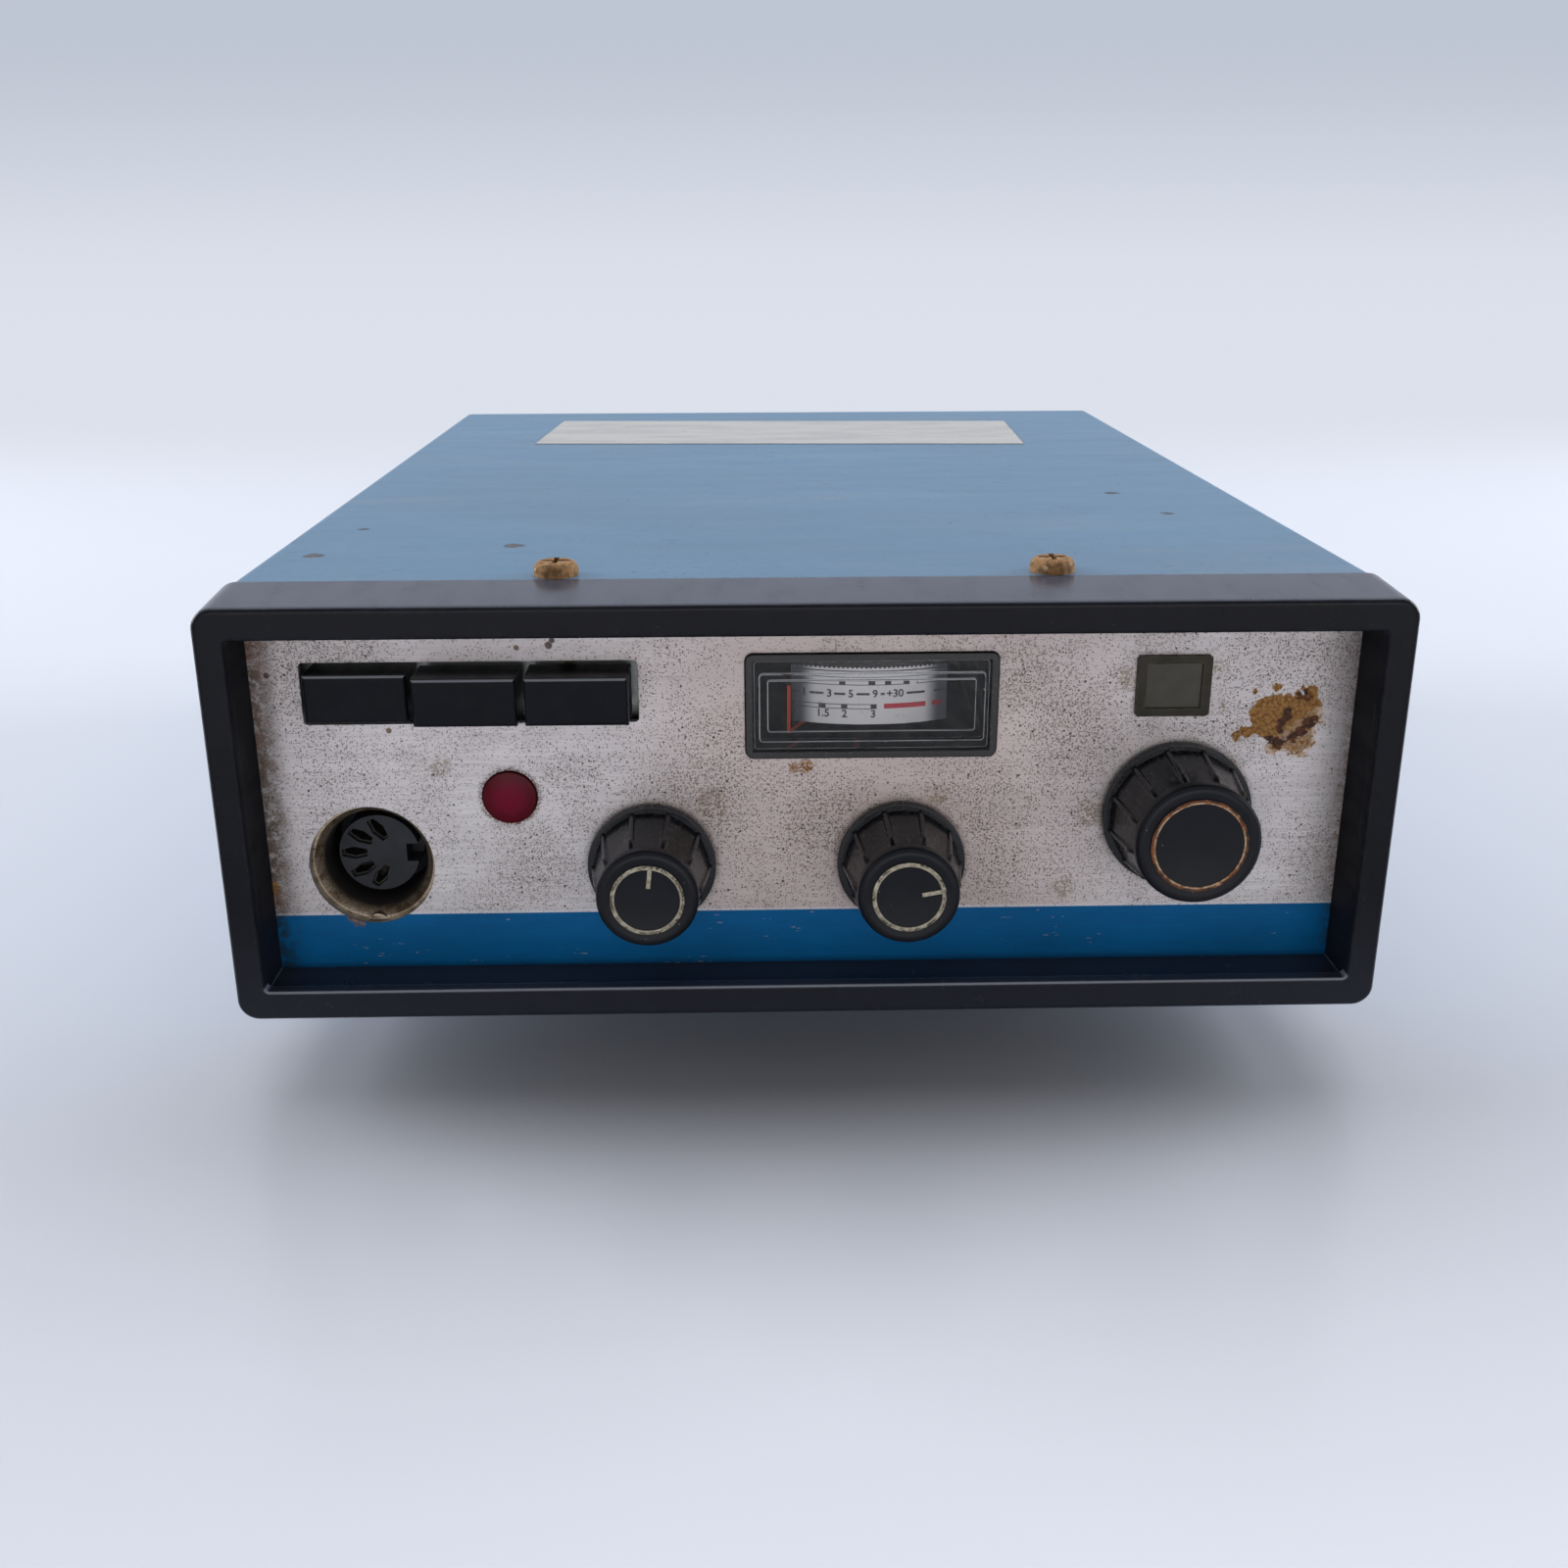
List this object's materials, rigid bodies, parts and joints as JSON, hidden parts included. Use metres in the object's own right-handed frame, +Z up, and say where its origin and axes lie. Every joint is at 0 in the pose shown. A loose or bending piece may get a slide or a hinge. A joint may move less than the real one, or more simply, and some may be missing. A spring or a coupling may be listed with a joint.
{
  "type": "vhf marine radio",
  "caption": "Vintage mobile radio in a folded steel case: moulded front frame, aluminium panel with push keys, edge meter, knobs, channel window and microphone socket.",
  "frame": {"origin": "on the table plane, below the middle of the whole object", "axes": "+X to the right seen from the front, +Y from the front to the rear, +Z up"},
  "size_m": [0.1682, 0.2428, 0.0735],
  "materials": {
    "case_paint": "satin enamel, light steel blue, scratched",
    "frame_moulding": "near-black navy moulding, half gloss",
    "panel_aluminium": "brushed along its length, blue band, stains",
    "plated_steel": "zinc plated, dull",
    "screw_steel": "nickel plated, tarnished",
    "rubber": "matt black",
    "label_paper": "bare paper, aged",
    "black_plastic": "moulded black, half gloss, dusty",
    "inner_plastic": "dark moulding",
    "brass": "dull, rusty in places",
    "clear_plastic": "clear, slightly yellowed",
    "scale_print": "black with pale marks",
    "red_plastic": "dark red, translucent",
    "window_plastic": "smoked grey",
    "dial_print": "dark with plain numbers",
    "board": "laminate",
    "can_metal": "drawn cans",
    "cone_paper": "pressed paper",
    "black_anodised": "black anodised"
  },
  "bodies": {
    "radio": {"alarm_lens": "red_plastic", "antenna_contact": "brass", "antenna_insulator": "inner_plastic", "antenna_socket": "plated_steel", "bottom_cover": "case_paint", "bracket_inserts": "plated_steel", "capacitors": "can_metal", "channel_switch": "plated_steel", "channel_wafers": "inner_plastic", "chassis": "plated_steel", "chassis_screws": "screw_steel", "coil_cans": "can_metal", "control_nuts": "plated_steel", "crystals": "can_metal", "foot_screws": "screw_steel", "front_frame": "frame_moulding", "front_panel": "panel_aluminium", "front_screws": "screw_steel", "heat_sink": "black_anodised", "jack_nut": "plated_steel", "key_bracket": "plated_steel", "key_switches": "inner_plastic", "lamp_holder": "inner_plastic", "main_board": "board", "meter_case": "inner_plastic", "meter_scale": "scale_print", "meter_window": "clear_plastic", "meter_yoke": "inner_plastic", "paper_label": "label_paper", "power_inlet": "inner_plastic", "power_pins": "brass", "power_transistors": "inner_plastic", "rear_panel": "case_paint", "rubber_feet": "rubber", "side_screws": "screw_steel", "socket_contacts": "brass", "socket_insert": "inner_plastic", "socket_shell": "plated_steel", "speaker_basket": "plated_steel", "speaker_cone": "cone_paper", "speaker_jack": "inner_plastic", "squelch_potentiometer": "plated_steel", "top_cover": "case_paint", "volume_potentiometer": "plated_steel", "window_frame": "inner_plastic", "window_pane": "window_plastic"},
    "left_key": {"left_key": "black_plastic"},
    "middle_key": {"middle_key": "black_plastic"},
    "right_key": {"right_key": "black_plastic"},
    "volume_control": {"volume_knob": "black_plastic", "volume_inlay": "brass", "volume_shaft": "plated_steel"},
    "squelch_control": {"squelch_knob": "black_plastic", "squelch_inlay": "brass", "squelch_shaft": "plated_steel"},
    "channel_selector": {"channel_knob": "black_plastic", "channel_inlay": "brass", "channel_shaft": "plated_steel", "channel_dial": "dial_print"},
    "meter_needle": {"meter_pointer": "scale_print"}
  },
  "joints": [
    {"name": "left_key_press", "type": "slide", "parent": "radio", "child": "left_key", "axis": [0, -1, 0], "range_m": [-0.0006, 0.0025]},
    {"name": "middle_key_press", "type": "slide", "parent": "radio", "child": "middle_key", "axis": [0, -1, 0], "range_m": [-0.0031, 0], "stiffness_N_per_m": 300},
    {"name": "right_key_press", "type": "slide", "parent": "radio", "child": "right_key", "axis": [0, -1, 0], "range_m": [-0.0031, 0], "stiffness_N_per_m": 300},
    {"name": "volume_turn", "type": "hinge", "parent": "radio", "child": "volume_control", "pos_m": [-0.0228, -0.11735, 0.0304], "axis": [0, 1, 0], "range_deg": [-156, 144]},
    {"name": "squelch_turn", "type": "hinge", "parent": "radio", "child": "squelch_control", "pos_m": [0.0138, -0.11735, 0.0304], "axis": [0, 1, 0], "range_deg": [-230, 70]},
    {"name": "channel_turn", "type": "hinge", "parent": "radio", "child": "channel_selector", "pos_m": [0.054, -0.11735, 0.0376], "axis": [0, 1, 0], "continuous": true},
    {"name": "needle_swing", "type": "hinge", "parent": "radio", "child": "meter_needle", "pos_m": [0.0092, -0.07775, 0.05425], "axis": [0, 0, 1], "range_deg": [0, 51], "stiffness_Nm_per_rad": 0.00001}
  ]
}
